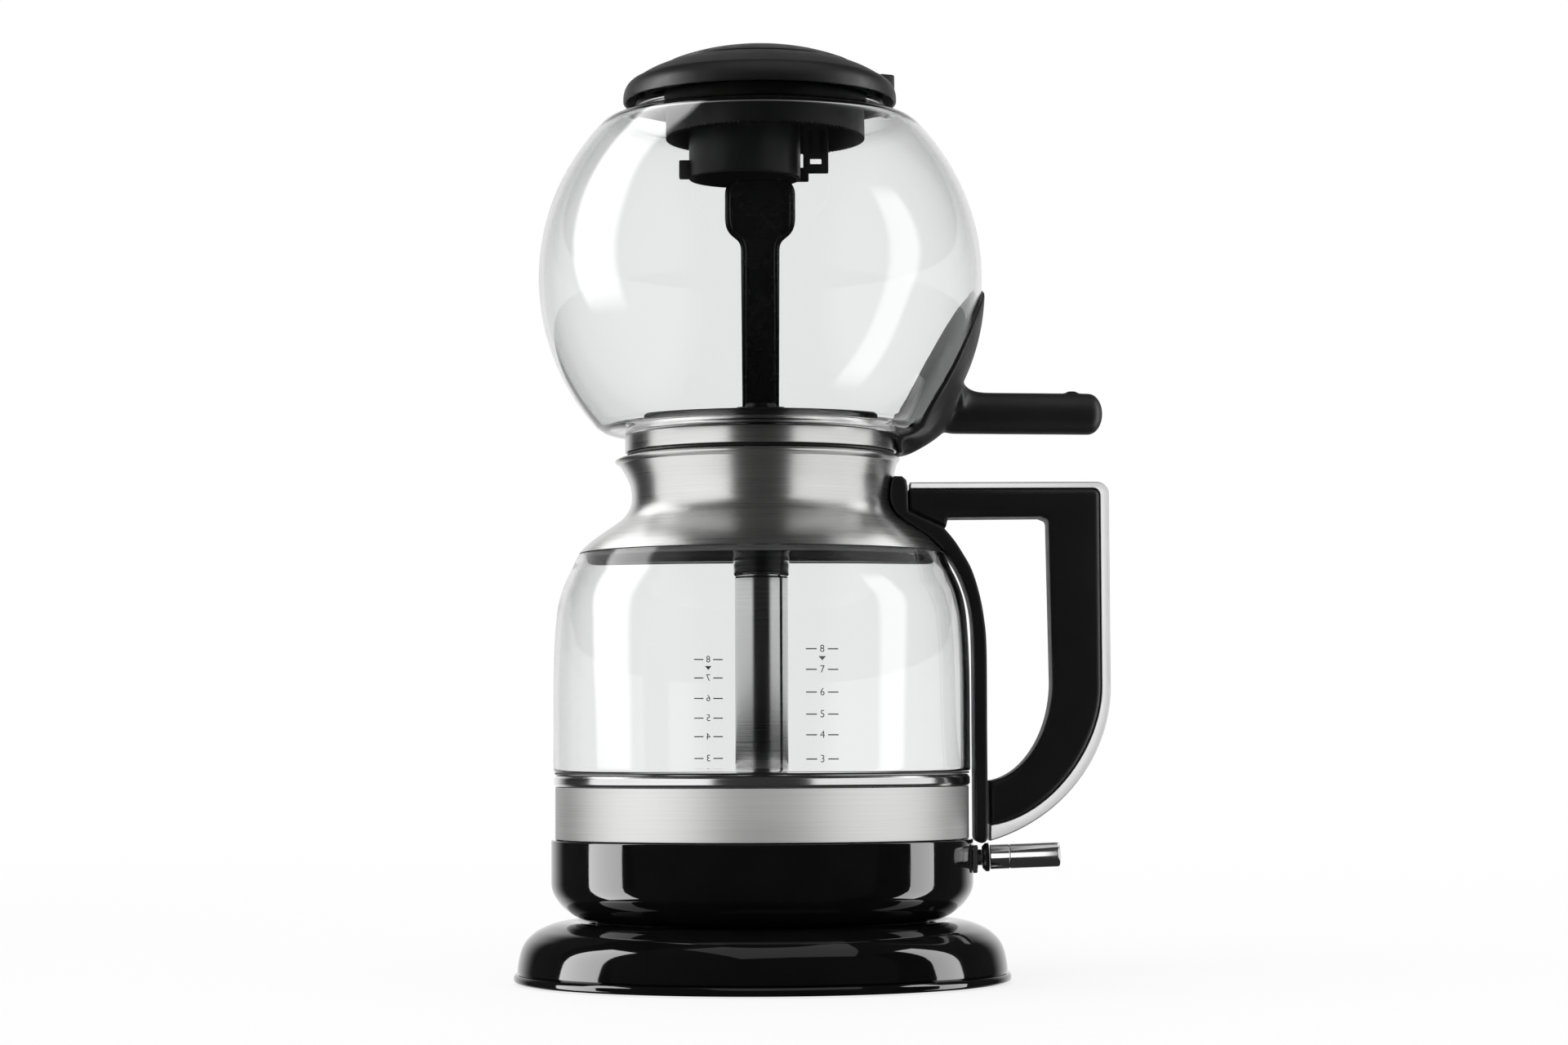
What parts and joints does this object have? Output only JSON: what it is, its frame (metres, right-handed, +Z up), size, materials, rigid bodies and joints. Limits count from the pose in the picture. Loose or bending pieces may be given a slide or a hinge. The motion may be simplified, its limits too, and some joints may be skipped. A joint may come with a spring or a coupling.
{
  "type": "siphon coffee maker",
  "caption": "Electric siphon coffee brewer: glass globe on a siphon tube over a glass carafe with heated drum, D handle, switch lever and cordless round power base.",
  "frame": {"origin": "on the table under the centre foot, on the common axis of base, carafe and globe", "axes": "+Z up along the common axis, +X towards the carafe's handle and lever, +Y towards the cord's inlet at the back"},
  "size_m": [0.2596, 0.216, 0.4106],
  "materials": {
    "gloss_black": "mirror-gloss black enamel look",
    "matte_black": "satin black moulding",
    "paddle_black": "semi-gloss black moulding",
    "lid_grey": "matte dark grey band",
    "brushed_steel": "brushed round the axis",
    "chrome": "polished",
    "steel": "plain stainless",
    "brass": "bright contact brass",
    "rubber": "matte",
    "silicone": "satin food-grade silicone",
    "housing": "heat-resistant moulding",
    "glass": "clear borosilicate glass"
  },
  "bodies": {
    "base": {"base_shell": "gloss_black", "base_bottom_cover": "matte_black", "base_connector": "matte_black", "connector_pin": "brass", "contact_ring": "brass", "cord_gland": "rubber", "foot_centre": "rubber", "foot_1": "rubber", "foot_2": "rubber", "foot_3": "rubber", "foot_4": "rubber", "base_screw_1": "steel", "base_screw_2": "steel", "base_screw_3": "steel"},
    "coupler": {"carafe_coupling": "matte_black"},
    "carafe": {"drum_shell": "gloss_black", "drum_plinth": "matte_black", "trim_band": "brushed_steel", "bevel_ring": "chrome", "heater_plate": "steel", "heating_element": "steel", "thermostat": "brass", "control_module": "housing", "lower_seal": "silicone", "carafe_glass": "glass", "upper_seal": "silicone", "carafe_neck": "brushed_steel", "handle_strap": "matte_black", "handle_grip": "matte_black", "handle_trim": "brushed_steel", "handle_screw_lower": "steel", "handle_screw_upper": "steel", "lever_escutcheon": "chrome", "lever_bracket": "steel", "lever_pin": "steel"},
    "lever": {"lever_arm": "steel", "lever_collar": "matte_black", "lever_rod": "chrome"},
    "brew_unit": {"upper_glass": "glass", "brew_gasket": "silicone", "brew_collar": "brushed_steel", "brew_floor": "matte_black", "brew_seal": "silicone", "tube_nut": "steel", "siphon_tube": "brushed_steel", "tube_sleeve": "brushed_steel", "brew_handle_pad": "matte_black", "brew_handle_grip": "matte_black", "brew_handle_screw": "steel"},
    "filter": {"filter_frame": "matte_black", "filter_mesh": "steel", "filter_hub": "matte_black", "filter_handle": "paddle_black"},
    "lid": {"lid_cap": "matte_black", "lid_ring": "lid_grey", "lid_brim": "matte_black", "lid_gasket": "silicone", "lid_collar": "matte_black", "tube_socket": "matte_black", "lid_clip": "matte_black"}
  },
  "joints": [
    {"name": "carafe_lift", "type": "slide", "parent": "base", "child": "coupler", "axis": [0, 0, 1], "range_m": [0, 0.04]},
    {"name": "carafe_turn", "type": "hinge", "parent": "coupler", "child": "carafe", "pos_m": [0, 0, 0], "axis": [0, 0, 1], "continuous": true},
    {"name": "lever_press", "type": "hinge", "parent": "carafe", "child": "lever", "pos_m": [0.086, 0, 0.0534], "axis": [0, 1, 0], "range_deg": [0, 12], "stiffness_Nm_per_rad": 0.1, "springref_deg": -11.46},
    {"name": "brew_unit_lift", "type": "slide", "parent": "carafe", "child": "brew_unit", "axis": [0, 0, 1], "range_m": [0, 0.15]},
    {"name": "filter_twist", "type": "hinge", "parent": "brew_unit", "child": "filter", "pos_m": [0, 0, 0.246], "axis": [0, 0, 1], "range_deg": [0, 45]},
    {"name": "lid_lift", "type": "slide", "parent": "brew_unit", "child": "lid", "axis": [0, 0, 1], "range_m": [0, 0.06]}
  ]
}
